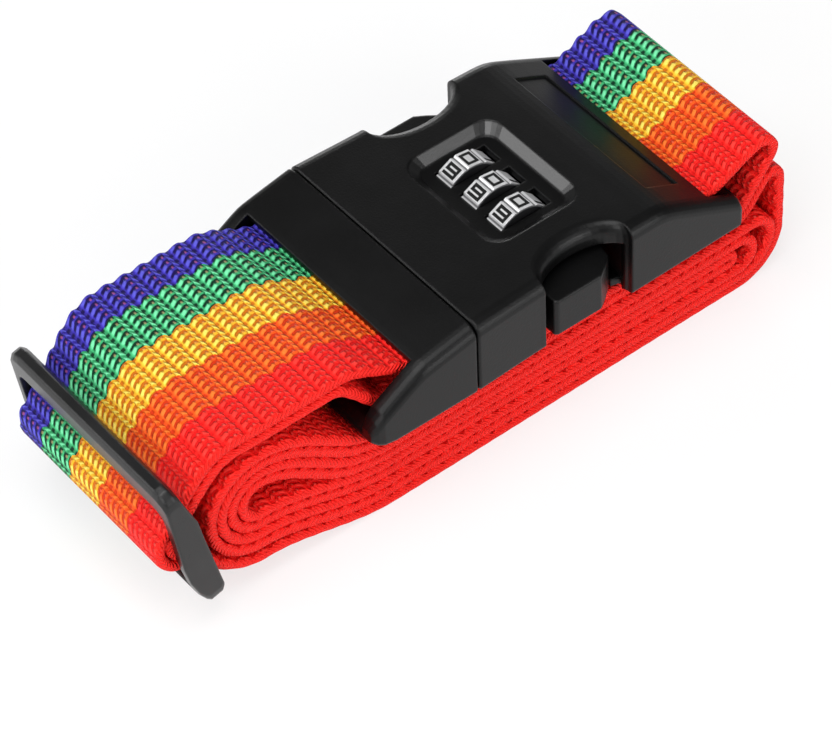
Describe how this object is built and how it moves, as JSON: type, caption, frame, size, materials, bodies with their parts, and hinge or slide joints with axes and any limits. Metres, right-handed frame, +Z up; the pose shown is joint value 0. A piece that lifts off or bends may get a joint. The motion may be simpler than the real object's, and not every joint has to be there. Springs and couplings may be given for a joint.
{
  "type": "luggage strap",
  "caption": "Wound rainbow luggage strap with a combination-lock side-release buckle and a three-bar slider, lying flat.",
  "frame": {"origin": "centre of the bounding box at floor level", "axes": "+X along the strap from the slider to the lock, +Y across the webbing to its blue edge, +Z up"},
  "size_m": [0.1586, 0.06, 0.0435],
  "materials": {
    "black_plastic": "satin moulded black plastic",
    "dark_plastic": "plain dark grey plastic",
    "steel": "bright drawn steel",
    "silver_dial": "silver plated plastic",
    "webbing": "woven webbing with five colour stripes"
  },
  "bodies": {
    "strap": {"lock_cover": "black_plastic", "lock_base": "black_plastic", "plug_body": "black_plastic", "dial_carrier": "dark_plastic", "dial_axle": "steel", "detent_leaf": "steel", "bolt_spring": "steel", "webbing_pin": "steel", "webbing_lock_loop": "webbing", "webbing_coil": "webbing", "webbing_run": "webbing", "cover_screw_1": "steel", "cover_screw_2": "steel", "cover_screw_3": "steel", "cover_screw_4": "steel"},
    "dial_1": {"dial_1": "silver_dial", "dial_sleeve_1": "dark_plastic"},
    "dial_2": {"dial_2": "silver_dial", "dial_sleeve_2": "dark_plastic"},
    "dial_3": {"dial_3": "silver_dial", "dial_sleeve_3": "dark_plastic"},
    "release_front": {"release_arm_front": "black_plastic"},
    "release_back": {"release_arm_back": "black_plastic"},
    "bolt": {"lock_bolt": "steel"},
    "reset": {"reset_button": "dark_plastic"},
    "slider": {"slider": "black_plastic"}
  },
  "joints": [
    {"name": "dial_1_turn", "type": "hinge", "parent": "strap", "child": "dial_1", "pos_m": [0.02243, 0.0079, 0.0342], "axis": [0, 1, 0], "continuous": true},
    {"name": "dial_2_turn", "type": "hinge", "parent": "strap", "child": "dial_2", "pos_m": [0.02243, 0, 0.0342], "axis": [0, 1, 0], "continuous": true},
    {"name": "dial_3_turn", "type": "hinge", "parent": "strap", "child": "dial_3", "pos_m": [0.02243, -0.0079, 0.0342], "axis": [0, 1, 0], "continuous": true},
    {"name": "release_front_press", "type": "hinge", "parent": "strap", "child": "release_front", "pos_m": [-0.00347, -0.0207, 0.0296], "axis": [0, 0, 1], "range_deg": [0, 4.5], "stiffness_Nm_per_rad": 0.5},
    {"name": "release_back_press", "type": "hinge", "parent": "strap", "child": "release_back", "pos_m": [-0.00347, 0.0207, 0.0296], "axis": [0, 0, -1], "range_deg": [0, 4.5], "stiffness_Nm_per_rad": 0.5},
    {"name": "bolt_lift", "type": "slide", "parent": "strap", "child": "bolt", "axis": [0, 0, 1], "range_m": [0, 0.0019], "stiffness_N_per_m": 200, "deforming": ["bolt_spring"]},
    {"name": "reset_press", "type": "slide", "parent": "strap", "child": "reset", "axis": [0, 0, 1], "range_m": [0, 0.001], "stiffness_N_per_m": 150},
    {"name": "slider_swing", "type": "hinge", "parent": "strap", "child": "slider", "pos_m": [-0.07097, 0, 0.0222], "axis": [0.0498, 0.9956, -0.0796], "range_deg": [0, 3]}
  ]
}
